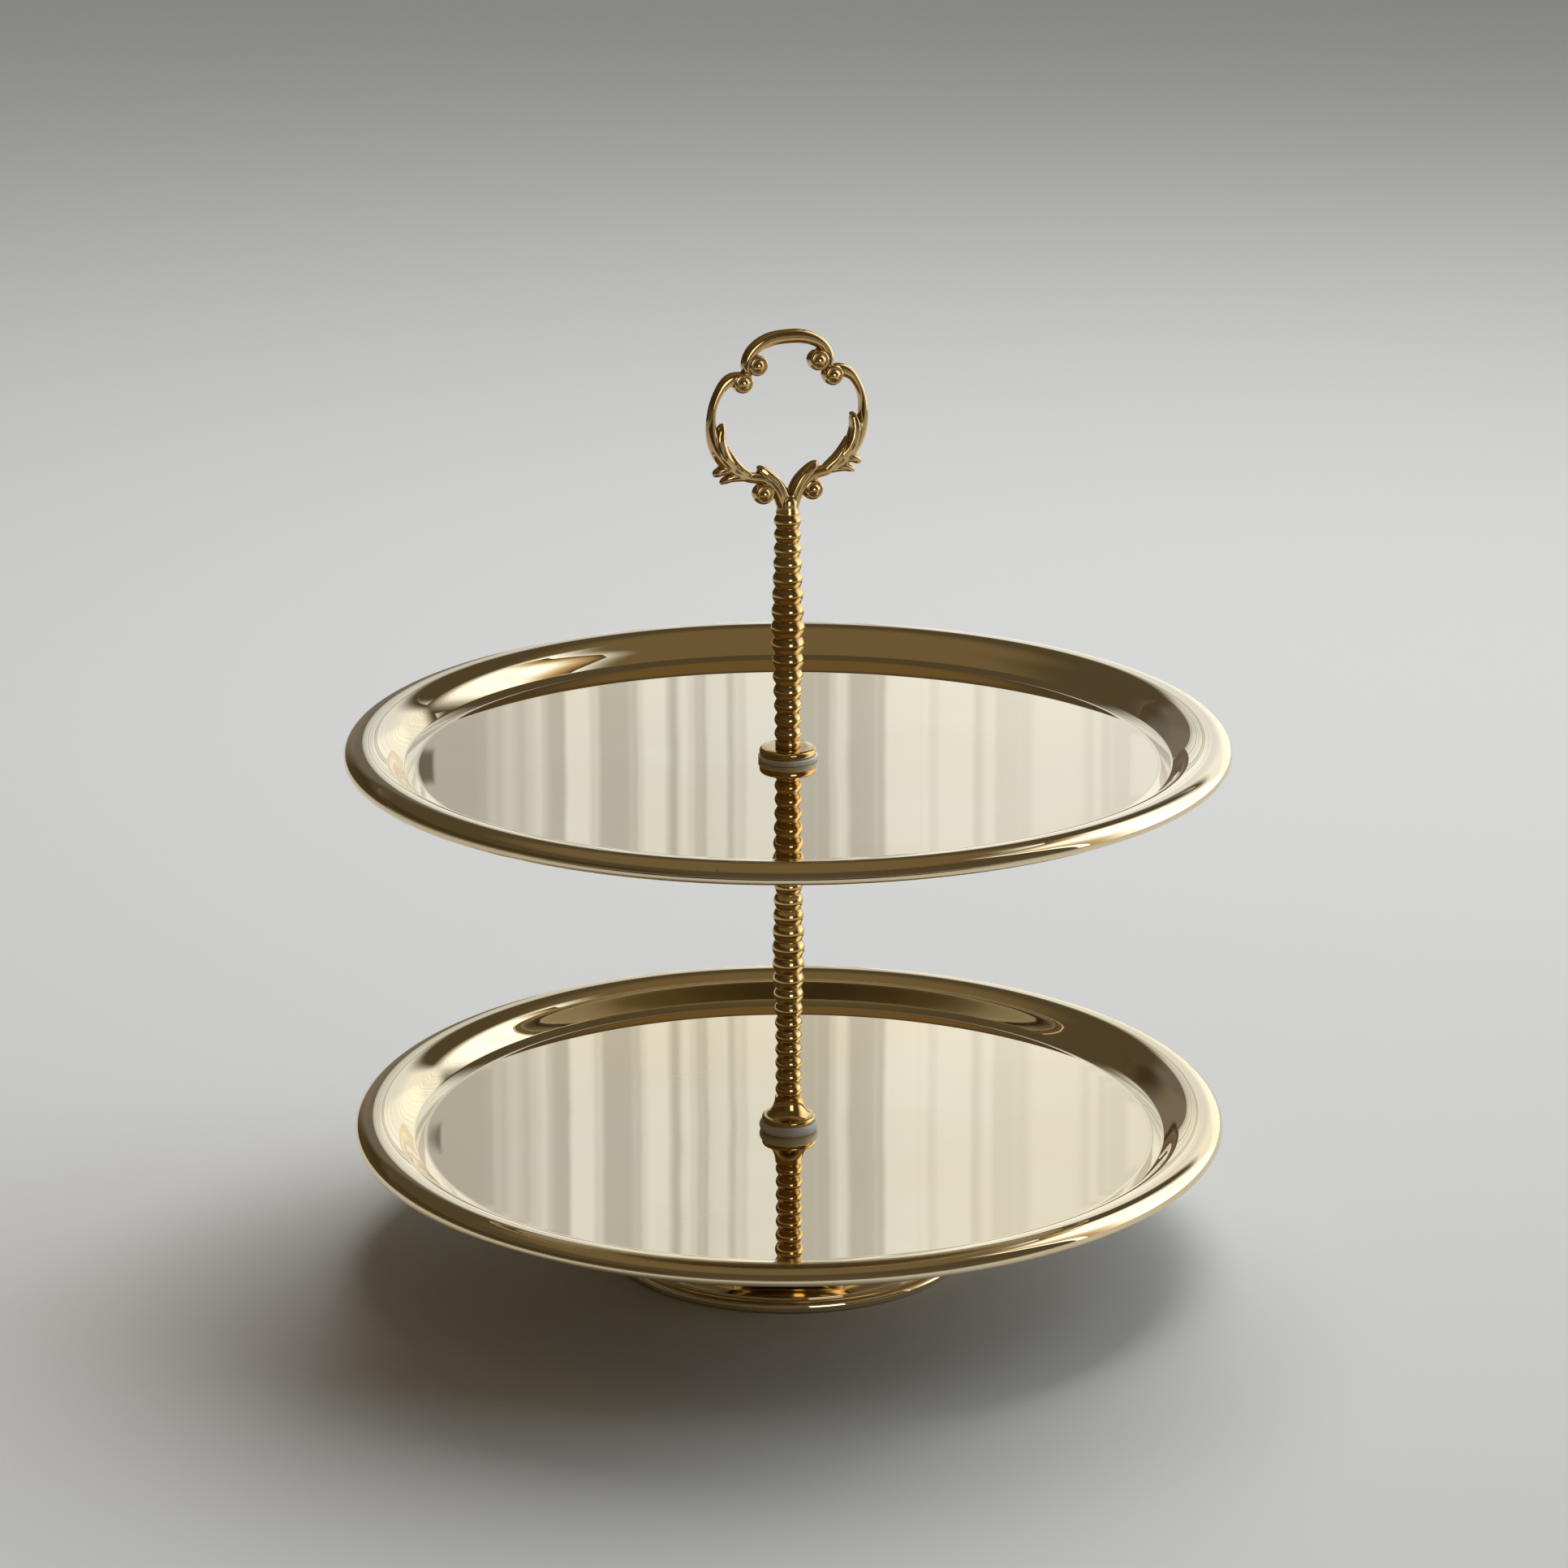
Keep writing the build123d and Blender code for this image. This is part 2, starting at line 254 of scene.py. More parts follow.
def makeHandleGold(name, settings):
    material, w, place = startMaterial(name)
    hollow = w.node("ShaderNodeAttribute", {"attribute_name": "hollow"}, None, output="Fac")
    tint = noise(w, place, 90, 3.0)
    # darker and rougher in the hollows
    hollowDarkening = hollow.smooth(0.03, 0.30) * (0.6 + 0.6 * noise(w, place, 300, 3.0))
    rubbed = (0 - hollow).smooth(0.05, 0.35)
    smudge = noise(w, place, 190, 4.0, 0.6).smooth(0.45, 0.75)
    casting = noise(w, place, 620, 3.0)
    colour = mixColour(w, tint.smooth(0.3, 0.7), settings["bright"], settings["deep"])
    colour = mixColour(w, (hollowDarkening * 0.85).between(0, 1), colour, settings["hollowDarkTone"])
    rough = settings["roughness"] + settings["haze"] * smudge + 0.2 * hollowDarkening - 0.05 * rubbed
    endMaterial(
        w,
        {"Metallic": 1.0},
        {"Base Color": colour, "Roughness": rough, "Normal": bump(w, casting * 5e-6)},
    )
    return material


plasticFinish = dict(light=(0.80, 0.795, 0.78, 1), grey=(0.70, 0.69, 0.665, 1), roughness=0.34)


def makeWhitePlastic(name, settings):
    material, w, place = startMaterial(name)
    cloud = noise(w, place, 160, 4.0)
    grain = noise(w, place, 2600, 2.0)
    colour = mixColour(w, cloud.smooth(0.3, 0.75), settings["light"], settings["grey"])
    rough = settings["roughness"] + 0.14 * cloud
    endMaterial(
        w,
        {"Subsurface Weight": 0.25, "Subsurface Radius": (0.004, 0.004, 0.004), "Subsurface Scale": 0.3},
        {"Base Color": colour, "Roughness": rough, "Normal": bump(w, grain * 6e-6)},
    )
    return material


steelFinish = dict(light=(0.66, 0.66, 0.67, 1), dullAndShade=(0.50, 0.50, 0.49, 1), roughness=0.22)


def makeSteel(name, settings):
    material, w, place = startMaterial(name)
    mottle = noise(w, place, 420, 4.0, 0.6)
    brushed = noise(w, turnedPlace(w, place, (300, 300, 4000), 0), 1.0, 2.0)
    # the steel's own duller tone in mottled patches, no shade
    colour = mixColour(w, mottle.smooth(0.35, 0.7), settings["light"], settings["dullAndShade"])
    rough = settings["roughness"] + 0.18 * mottle + 0.05 * brushed
    endMaterial(
        w,
        {"Metallic": 1.0},
        {"Base Color": colour, "Roughness": rough, "Normal": bump(w, brushed * 5e-6)},
    )
    return material


trayGold = makeTrayGold("trayGold", trayFinish)
postGold = makePostGold("postGold", postFinish)
handleGold = makeHandleGold("handleGold", handleFinish)
whitePlastic = makeWhitePlastic("whitePlastic", plasticFinish)
zincSteel = makeSteel("zincSteel", steelFinish)
print("materials made:", len(bpy.data.materials))


# Outlines: lists of (out, up) in millimetres

def arcRun(middle, radius, start, end, steps=24):
    turns = [math.radians(start + (end - start) * k / steps) for k in range(steps + 1)]
    return [(middle[0] + radius * math.cos(a), middle[1] + radius * math.sin(a)) for a in turns]


# Arc that leaves start along heading and ends at end
def tangentRun(start, heading, end, steps=32):
    length = math.hypot(*heading)
    left = (-heading[1] / length, heading[0] / length)
    chord = (end[0] - start[0], end[1] - start[1])
    radius = (chord[0] ** 2 + chord[1] ** 2) / (2 * (chord[0] * left[0] + chord[1] * left[1]))
    middle = (start[0] + left[0] * radius, start[1] + left[1] * radius)
    first = math.atan2(start[1] - middle[1], start[0] - middle[0])
    last = math.atan2(end[1] - middle[1], end[0] - middle[0])
    sweep = (last - first) % math.tau if radius > 0 else -((first - last) % math.tau)
    return arcRun(middle, abs(radius), math.degrees(first), math.degrees(first + sweep), steps)


def cornerRun(before, corner, after, radius, steps=10):
    a = (Vector(before) - Vector(corner)).normalized()
    b = (Vector(after) - Vector(corner)).normalized()
    half = a.angle(b) / 2
    start = Vector(corner) + a * (radius / math.tan(half))
    end = Vector(corner) + b * (radius / math.tan(half))
    return tangentRun(tuple(start), tuple(-a), tuple(end), steps)


# Evenly spaced points along a run, with its corners eased over a short reach
def softRun(points, spacing, reach):
    run = np.array(points, float)
    keep = np.r_[True, np.linalg.norm(np.diff(run, axis=0), axis=1) > 1e-9]
    run = run[keep]
    along = np.r_[0, np.cumsum(np.linalg.norm(np.diff(run, axis=0), axis=1))]
    count = max(int(along[-1] / spacing), 8)
    even = np.linspace(0, along[-1], count + 1)
    dense = np.c_[np.interp(even, along, run[:, 0]), np.interp(even, along, run[:, 1])]
    span = int(3 * reach / spacing)
    if span < 1:
        return dense
    weights = np.exp(-0.5 * (np.arange(-span, span + 1) * spacing / reach) ** 2)
    weights /= weights.sum()
    head = 2 * dense[0] - dense[span:0:-1]
    tail = 2 * dense[-1] - dense[-2:-span - 2:-1]
    padded = np.vstack([head, dense, tail])
    return np.c_[[np.convolve(padded[:, k], weights, "valid") for k in (0, 1)]].T


# The other face of a sheet, on the right of the run, without the loops at tight corners
def sheetBack(run, thickness):
    heading = np.gradient(run, axis=0)
    heading /= np.linalg.norm(heading, axis=1)[:, None]
    back = run + thickness * np.c_[heading[:, 1], -heading[:, 0]]
    apart = np.array([np.min(np.hypot(*(run - p).T)) for p in back])
    return back[apart > 0.985 * thickness]


# Fewer points on straight stretches, all of them round the bends
def thinned(run, bend=0.35, longest=7.0):
    kept = [0]
    for k in range(1, len(run) - 1):
        window = run[max(k - 4, 0):k + 5]
        heading = np.diff(window, axis=0)
        turn = np.degrees(np.ptp(np.unwrap(np.arctan2(heading[:, 1], heading[:, 0]))))
        gap = np.hypot(*(run[k] - run[kept[-1]]))
        if gap > longest or (turn > bend and gap > min(longest, 3.2 / turn)):
            kept.append(k)
    return run[kept + [len(run) - 1]]


# Turns a closed outline round the upright axis; rows after the shown ones are marked as its underside,
# which gets satin roughness and painted shade
def turnedMesh(name, outline, base, steps, sharp=50, shown=None, undersideSatinAndShade=1.0):
    rows = [(max(r, 0) * mm, base + z * mm) for r, z in outline]
    turns = [math.tau * k / steps for k in range(steps)]
    verts = [(r * math.cos(a), r * math.sin(a), z) for r, z in rows for a in turns]
    faces = []
    for i in range(len(rows)):
        j = (i + 1) % len(rows)
        for k in range(steps):
            n = (k + 1) % steps
            faces.append((i * steps + k, i * steps + n, j * steps + n, j * steps + k))
    mesh = bpy.data.meshes.new(name)
    mesh.from_pydata(verts, [], faces)
    if shown:
        layer = mesh.attributes.new("underside", "FLOAT", "POINT")
        hidden = undersideSatinAndShade * (np.arange(len(rows)) >= shown)
        layer.data.foreach_set("value", np.repeat(hidden, steps).astype(np.float32))
    cleaned(mesh)
    mesh.set_sharp_from_angle(angle=math.radians(sharp))
    return mesh


def cleaned(mesh, merge=1e-7):
    work = bmesh.new()
    work.from_mesh(mesh)
    bmesh.ops.remove_doubles(work, verts=work.verts, dist=merge)
    bmesh.ops.dissolve_degenerate(work, edges=work.edges, dist=merge)
    bmesh.ops.recalc_face_normals(work, faces=work.faces)
    for face in work.faces:
        face.smooth = True
    work.to_mesh(mesh)
    work.free()


# Puts a finished mesh in the scene in place of a frame node
def setPiece(name, mesh, node, material=None):
    piece = bpy.data.objects.new(name, mesh)
    bpy.context.scene.collection.objects.link(piece)
    if material:
        mesh.materials.clear()
        mesh.materials.append(material)
    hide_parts(node)
    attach(piece, bodyOf[node])
    return piece


# Trays: barely dished floor, low curb with a ridge, cove, rounded rim and a lip curled under it
tray = dict(
    sheet=0.9,
    holeRadius=2.9,
    hubRadius=13.5,
    floorDish=0.4,
    dishStop=3,        # from the end of the dish to the corner of the floor
    dishShare=0.955,   # of the dish reached there
    floorRun=24.2,
    floorFillet=4.0,
    ridgeRun=21.4,
    ridgeHeight=1.2,
    ledgeRun=20.1,
    ledgeHeight=1.55,
    shoulderRun=16.8,
    shoulderHeight=4.8,
    rimHeight=9.8,
    rimRun=5.7,
    rimDrop=4.7,
    lipRadius=1.9,
    lipTurn=130,
    ease=0.28,
    steps=288,
)


def makeTray(name, node, t, undersideSatinAndShade):
    low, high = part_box(node)
    edge = high.x / mm
    crest = (edge - t["rimRun"], t["rimHeight"])
    widest = t["rimHeight"] - t["rimDrop"]
    lean = (t["rimRun"] - t["rimDrop"]) / (math.sqrt(2) - 1)
    topRadius = (t["rimRun"] + t["rimDrop"] + lean) / 2
    sideRadius = (t["rimRun"] + t["rimDrop"] - lean) / 2
    shoulder = (edge - t["shoulderRun"], t["shoulderHeight"])
    ridge = (edge - t["ridgeRun"], t["ridgeHeight"])
    floorEdge = (edge - t["floorRun"], t["floorDish"])
    top = [(t["holeRadius"], 0)]
    dishEnd = (floorEdge[0] - t["dishStop"], floorEdge[1] * t["dishShare"])
    top += tangentRun((t["hubRadius"], 0), (1, 0), dishEnd, 100)
    top += cornerRun(top[-1], floorEdge, ridge, t["floorFillet"])
    top += [ridge, (edge - t["ledgeRun"], t["ledgeHeight"])]
    top += tangentRun(crest, (-1, 0), shoulder)[::-1]
    top += arcRun((crest[0], t["rimHeight"] - topRadius), topRadius, 90, 45)
    top += arcRun((edge - sideRadius, widest), sideRadius, 45, 0)
    top += arcRun((edge - t["lipRadius"], widest), t["lipRadius"], 0, -t["lipTurn"])
    face = softRun(top, 0.12, t["ease"])
    shown = thinned(face, longest=4)
    outline = np.vstack([shown, thinned(sheetBack(face, t["sheet"]))[::-1]])
    base = high.z - t["rimHeight"] * mm
    mesh = turnedMesh(name, outline, base, t["steps"], shown=len(shown), undersideSatinAndShade=undersideSatinAndShade)
    return setPiece(name, mesh, node, trayGold)


# last value: how strongly the underside gets satin roughness and painted shade
upperTray = makeTray("upperTray", "upper_tray", tray, 1.0)
lowerTray = makeTray("lowerTray", "lower_tray", tray, 0.4)
print("trays turned:", len(upperTray.data.polygons), "faces each")


# Foot: seat, domed shoulder, long flare, two fine steps and a rounded edge turned in
foot = dict(
    sheet=1.0,
    holeRadius=2.9,
    seatRadius=13.5,
    neckRadius=25.0,
    neckDrop=8.5,
    edgeRadius=2.0,
    flange=4.0,
    step=0.8,
    ledge=1.0,
    ease=0.22,
    steps=256,
)


def makeFoot(name, node, f):
    low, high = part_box(node)
    edge = high.x / mm
    height = (high.z - low.z) / mm
    edgeMiddle = (edge - f["edgeRadius"], f["edgeRadius"])
    ledgeHeight = 2 * f["edgeRadius"]
    stepRadius = edgeMiddle[0] - f["ledge"]
    neck = (f["neckRadius"], height - f["neckDrop"])
    flareEnd = (stepRadius, ledgeHeight + f["step"])
    top = [(f["holeRadius"], height)]
    top += tangentRun((f["seatRadius"], height), (1, 0), neck)
    top += tangentRun(flareEnd, (-1, 0), neck, 64)[::-1]
    top += [(stepRadius, ledgeHeight)]
    top += arcRun(edgeMiddle, f["edgeRadius"], 90, -90)
    top += [(edgeMiddle[0] - f["flange"], 0)]
    face = softRun(top, 0.1, f["ease"])
    face[:, 1] = np.maximum(face[:, 1], 0)
    outline = np.vstack([thinned(face), thinned(sheetBack(face, f["sheet"]))[::-1]])
    mesh = turnedMesh(name, outline, low.z, f["steps"])
    return setPiece(name, mesh, node, trayGold)


spunFoot = makeFoot("spunFoot", "foot", foot)
print("foot turned:", len(spunFoot.data.polygons), "faces")


# Collars and washers: solid outlines with eased edges
def easedSolid(points, ease, spacing=0.06):
    loop = points + [points[0]]
    middle = ((loop[0][0] + loop[1][0]) / 2, (loop[0][1] + loop[1][1]) / 2)
    run = softRun([middle] + loop[1:] + [middle], spacing, ease)
    return thinned(run, 0.5, 2.5)[:-1]


collar = dict(
    holeRadius=2.55,
    discEdge=1.1,
    bellHole=2.9,
    bellNeck=4.7,
    bellRim=2.0,
    bellShoulder=1.7,
    steps=128,
)


def makeDiscCollar(name, node, c):
    low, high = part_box(node)
    edge = high.x / mm
    thick = (high.z - low.z) / mm
    r = c["discEdge"]
    points = [(c["holeRadius"], thick), (c["holeRadius"], 0)]
    points += arcRun((edge - r, r), r, -90, 0, 12)
    points += arcRun((edge - r, thick - r), r, 0, 90, 12)
    mesh = turnedMesh(name, easedSolid(points, 0.08), low.z, c["steps"])
    return setPiece(name, mesh, node, postGold)


def makeBellCollar(name, node, c, rimUp):
    low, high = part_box(node)
    edge = high.x / mm
    height = (high.z - low.z) / mm
    shoulder = (edge - c["bellShoulder"], c["bellRim"])
    points = [(c["bellHole"], height), (c["bellHole"], 0), (edge - 0.35, 0)]
    points += arcRun((edge - 0.9, c["bellRim"] - 0.9), 0.9, 0, 90, 10)
    points += tangentRun((c["bellNeck"], height), (0, -1), shoulder)[::-1]
    outline = easedSolid(points, 0.12)
    if rimUp:
        outline = np.c_[outline[:, 0], height - outline[:, 1]]
    mesh = turnedMesh(name, outline, low.z, c["steps"])
    return setPiece(name, mesh, node, postGold)


upperCollar = makeDiscCollar("upperCollar", "upper_collar", collar)
supportCollar = makeBellCollar("supportCollar", "support_collar", collar, rimUp=True)
lowerCollar = makeBellCollar("lowerCollar", "lower_collar", collar, rimUp=False)

washer = dict(holeRadius=2.9, bulge=0.7, steps=128)


def makeWasher(name, node, material, bulge, ease):
    low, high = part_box(node)
    edge = high.x / mm
    thick = (high.z - low.z) / mm
    points = [(washer["holeRadius"], thick), (washer["holeRadius"], 0)]
    if bulge:
        radius = (bulge**2 + (thick / 2) ** 2) / (2 * bulge)
        half = math.degrees(math.asin(thick / 2 / radius))
        points += arcRun((edge - radius, thick / 2), radius, -half, half, 20)
    else:
        points += [(edge, 0), (edge, thick)]
    mesh = turnedMesh(name, easedSolid(points, ease), low.z, washer["steps"])
    return setPiece(name, mesh, node, material)


makeWasher("upperWasher", "upper_washer", whitePlastic, 0, 0.2)
makeWasher("supportWasher", "support_washer", whitePlastic, washer["bulge"], 0.12)
makeWasher("lowerWasher", "lower_washer", whitePlastic, washer["bulge"], 0.12)
makeWasher("footGasket", "foot_gasket", whitePlastic, 0, 0.15)
makeWasher("footWasher", "foot_washer", zincSteel, 0, 0.1)
print("collars and washers turned")


# Geometry Nodes: trees get their inputs by name, modifiers by socket identifier
def startTree(name, inputs):
    tree = bpy.data.node_groups.new(name, "GeometryNodeTree")
    tree.interface.new_socket("Geometry", in_out="OUTPUT", socket_type="NodeSocketGeometry")
    for label, kind in inputs.items():
        tree.interface.new_socket(label, in_out="INPUT", socket_type="NodeSocket" + kind)
    w = Wire(tree)
    source = w.node("NodeGroupInput")
    return tree, w, {label: source.part(label) for label in inputs}


def endTree(w, shape, material):
    smooth = w.node("GeometryNodeSetShadeSmooth", None, {"Geometry": shape})
    real = w.node("GeometryNodeRealizeInstances", None, {"Geometry": smooth})
    dressed = w.node("GeometryNodeSetMaterial", None, {"Geometry": real, "Material": material})
    w.node("NodeGroupOutput", None, {0: dressed})


def grownMesh(name, tree, values):
    holder = bpy.data.objects.new(name + "Holder", bpy.data.meshes.new(name + "Holder"))
    bpy.context.scene.collection.objects.link(holder)
    modifier = holder.modifiers.new("grow", "NODES")
    modifier.node_group = tree
    for item in tree.interface.items_tree:
        if item.item_type == "SOCKET" and item.in_out == "INPUT":
            modifier[item.identifier] = values[item.name]
    depsgraph = bpy.context.evaluated_depsgraph_get()
    mesh = bpy.data.meshes.new_from_object(holder.evaluated_get(depsgraph))
    mesh.name = name
    holder.modifiers.clear()
    bpy.data.objects.remove(holder)
    return mesh


# A round bar whose skin swells bead by bead: bigger beads in the middle are taller too
def beadedPostTree():
    inputs = {
        "Beads": "Int", "Rows Per Bead": "Int", "Segments": "Int", "Bottom": "Float", "Length": "Float",
        "End Radius": "Float", "Swell": "Float", "Swell Beads": "Float", "Groove Depth": "Float",
        "Valley Ease": "Float", "Material": "Material",
    }
    tree, w, put = startTree("beadedPost", inputs)
    tube = w.node(
        "GeometryNodeMeshCylinder",
        {"fill_type": "NONE"},
        {
            "Vertices": put["Segments"],
            "Side Segments": put["Beads"] * put["Rows Per Bead"],
            "Radius": 1.0,
            "Depth": 1.0,
        },
    )
    place = w.node("GeometryNodeInputPosition")
    across = w.node("ShaderNodeSeparateXYZ", None, {"Vector": place})
    bead = (across.part(2) + 0.5) * put["Beads"]
    reach = ((bead - put["Beads"] / 2) / put["Swell Beads"]).between(-1, 1)
    size = put["End Radius"] + put["Swell"] * (1 - abs(reach))
    run = put["End Radius"] * bead
    run = run + put["Swell"] * put["Swell Beads"] * (0.5 + reach - reach * abs(reach) / 2)
    whole = put["End Radius"] * put["Beads"] + put["Swell"] * put["Swell Beads"]
    height = put["Bottom"] + put["Length"] * run / whole
    ease = put["Valley Ease"]
    wave = w.sum("SINE", bead * math.pi)
    crest = ((wave * wave + ease * ease) ** 0.5 - ease) / ((1 + ease * ease) ** 0.5 - ease)
    valley = 1 - crest
    radius = size - put["Groove Depth"] * valley
    marked = w.node(
        "GeometryNodeStoreNamedAttribute",
        {"data_type": "FLOAT", "domain": "POINT"},
        {"Geometry": tube, "Name": "groove", "Value": valley},
    )
    moved = w.node(
        "ShaderNodeCombineXYZ", None, {"X": across * radius, "Y": across.part(1) * radius, "Z": height}
    )
    shape = w.node("GeometryNodeSetPosition", None, {"Geometry": marked, "Position": moved})
    endTree(w, shape, put["Material"])
    return tree


# A rod with a helical thread that fades out at both ends
def threadedRodTree():
    inputs = {
        "Segments": "Int", "Rows": "Int", "Bottom": "Float", "Length": "Float", "Pitch": "Float",
        "Outer Radius": "Float", "Thread Height": "Float", "Chamfer": "Float", "Material": "Material",
    }
    tree, w, put = startTree("threadedRod", inputs)
    tube = w.node(
        "GeometryNodeMeshCylinder",
        {"fill_type": "NGON"},
        {"Vertices": put["Segments"], "Side Segments": put["Rows"], "Radius": 1.0, "Depth": 1.0},
    )
    place = w.node("GeometryNodeInputPosition")
    across = w.node("ShaderNodeSeparateXYZ", None, {"Vector": place})
    height = (across.part(2) + 0.5) * put["Length"]
    turn = w.sum("ARCTAN2", across.part(1), across) / math.tau
    phase = w.sum("FRACT", height / put["Pitch"] - turn)
    ridge = ((1 - abs(2 * phase - 1)) * 1.5 - 0.2).between(0, 1)
    fade = (w.sum("MINIMUM", height, put["Length"] - height) / put["Chamfer"]).between(0, 1)
    radius = put["Outer Radius"] - put["Thread Height"] * (2 - ridge * fade - fade)
    moved = w.node(
        "ShaderNodeCombineXYZ",
        None,
        {"X": across * radius, "Y": across.part(1) * radius, "Z": put["Bottom"] + height},
    )
    shape = w.node("GeometryNodeSetPosition", None, {"Geometry": tube, "Position": moved})
    endTree(w, shape, put["Material"])
    return tree


post = dict(
    endRadius=4.6,
    swell=1.1,
    swellBeads=5.5,
    grooveDepth=0.95,
    valleyEase=0.16,
    ringHeight=2.4,    # plain ring under the beads of the upper post
    ringRadius=4.3,
    boreRadius=2.55,
    boreDepth=11.0,
    drillTip=1.4,
    rowsPerBead=26,
    segments=112,
)
beadTree = beadedPostTree()


# End of a post: face, bore and drill tip, as an open run from the skin inwards
def endMesh(name, points, steps):
    rows = [(r * mm, z) for r, z in points]
    turns = [math.tau * k / steps for k in range(steps)]
    verts = [(r * math.cos(a), r * math.sin(a), z) for r, z in rows for a in turns]
    faces = []
    for i in range(len(rows) - 1):
        for k in range(steps):
            n = (k + 1) % steps
            faces.append((i * steps + k, i * steps + n, (i + 1) * steps + n, (i + 1) * steps + k))
    mesh = bpy.data.meshes.new(name)
    mesh.from_pydata(verts, [], faces)
    return mesh


def joined(name, meshes, merge):
    work = bmesh.new()
    for mesh in meshes:
        work.from_mesh(mesh)
    whole = bpy.data.meshes.new(name)
    work.to_mesh(whole)
    work.free()
    cleaned(whole, merge)
    return whole


def makePost(name, node, beads, ringHeight, p):
    low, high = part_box(node)
    bottom = low.z + ringHeight * mm
    skin = grownMesh(name + "Skin", beadTree, {
        "Beads": beads,
        "Rows Per Bead": p["rowsPerBead"],
        "Segments": p["segments"],
        "Bottom": bottom,
        "Length": high.z - bottom,
        "End Radius": p["endRadius"] * mm,
        "Swell": p["swell"] * mm,
        "Swell Beads": p["swellBeads"],
        "Groove Depth": p["grooveDepth"] * mm,
        "Valley Ease": p["valleyEase"],
        "Material": postGold,
    })
    valley = p["endRadius"] - p["grooveDepth"]
    bore, deep, tip = p["boreRadius"], p["boreDepth"] * mm, p["drillTip"] * mm
    topEnd = [(valley, high.z), (bore, high.z), (bore, high.z - deep), (0, high.z - deep - tip)]
    lowEnd = [(valley, bottom)]
    if ringHeight:
        ring = p["ringRadius"]
        lowEnd += [(ring - 0.25, bottom), (ring, bottom - 0.25 * mm), (ring, low.z + 0.25 * mm)]
        lowEnd += [(ring - 0.25, low.z)]
    lowEnd += [(bore, low.z), (bore, low.z + deep), (0, low.z + deep + tip)]
    ends = [endMesh(name + "End", run, p["segments"]) for run in (topEnd, lowEnd)]
    mesh = joined(name, [skin] + ends, 2e-6)
    mesh.set_sharp_from_angle(angle=math.radians(60))
    return setPiece(name, mesh, node, postGold)


upperPost = makePost("upperPost", "upper_post", 15, post["ringHeight"], post)
lowerPost = makePost("lowerPost", "lower_post", 21, 0, post)
print("posts grown:", len(upperPost.data.polygons), len(lowerPost.data.polygons), "faces")

thread = dict(
    pitch=0.8,
    height=0.42,
    chamfer=0.7,
    outerRadius=2.5,
    rowsPerPitch=12,
    segments=40,
    headRadius=4.75,
    headHeight=3.0,
    headEdge=1.2,
    recessLength=5.2,
    recessWidth=1.2,
    recessDepth=1.6,
)
rodTree = threadedRodTree()


def rodMesh(name, bottom, top, t):
    return grownMesh(name, rodTree, {
        "Segments": t["segments"],
        "Rows": round((top - bottom) / mm / t["pitch"] * t["rowsPerPitch"]),
        "Bottom": bottom,
        "Length": top - bottom,
        "Pitch": t["pitch"] * mm,
        "Outer Radius": t["outerRadius"] * mm,
        "Thread Height": t["height"] * mm,
        "Chamfer": t["chamfer"] * mm,
        "Material": zincSteel,
    })


def makeStud(name, node, t):
    low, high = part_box(node)
    mesh = rodMesh(name, low.z, high.z, t)
    cleaned(mesh)
    mesh.set_sharp_from_angle(angle=math.radians(40))
    return setPiece(name, mesh, node, zincSteel)


def makeScrew(name, node, t):
    low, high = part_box(node)
    headTop = low.z + t["headHeight"] * mm
    edge, r = t["headRadius"], t["headEdge"]
    points = [(0, t["headHeight"]), (0, 0)]
    points += arcRun((edge - r, r), r, -90, 0, 12)
    points += [(edge, t["headHeight"])]
    head = turnedMesh(name + "Head", easedSolid(points, 0.1), low.z, 96)
    piece = bpy.data.objects.new(name + "Head", head)
    bpy.context.scene.collection.objects.link(piece)
    for sizes in ((t["recessLength"], t["recessWidth"]), (t["recessWidth"], t["recessLength"])):
        cutter = bpy.data.meshes.new(name + "Cutter")
        work = bmesh.new()
        scale = Matrix.Diagonal((sizes[0] * mm, sizes[1] * mm, 2 * t["recessDepth"] * mm, 1))
        bmesh.ops.create_cube(work, size=1, matrix=Matrix.Translation((0, 0, low.z)) @ scale)
        work.to_mesh(cutter)
        work.free()
        tool = bpy.data.objects.new(name + "Cutter", cutter)
        bpy.context.scene.collection.objects.link(tool)
        modifier = piece.modifiers.new("recess", "BOOLEAN")
        modifier.object = tool
        modifier.solver = "EXACT"
        depsgraph = bpy.context.evaluated_depsgraph_get()
        piece.data = bpy.data.meshes.new_from_object(piece.evaluated_get(depsgraph))
        piece.modifiers.clear()
        bpy.data.objects.remove(tool)
    head = piece.data
    bpy.data.objects.remove(piece)
    shank = rodMesh(name + "Shank", headTop - 0.2 * mm, high.z, t)
    mesh = joined(name, [head, shank], 1e-7)
    mesh.set_sharp_from_angle(angle=math.radians(40))
    return setPiece(name, mesh, node, zincSteel)


makeStud("postStud", "post_stud", thread)
makeStud("handleStud", "handle_stud", thread)
makeScrew("footScrew", "foot_screw", thread)
print("studs and screw threaded")


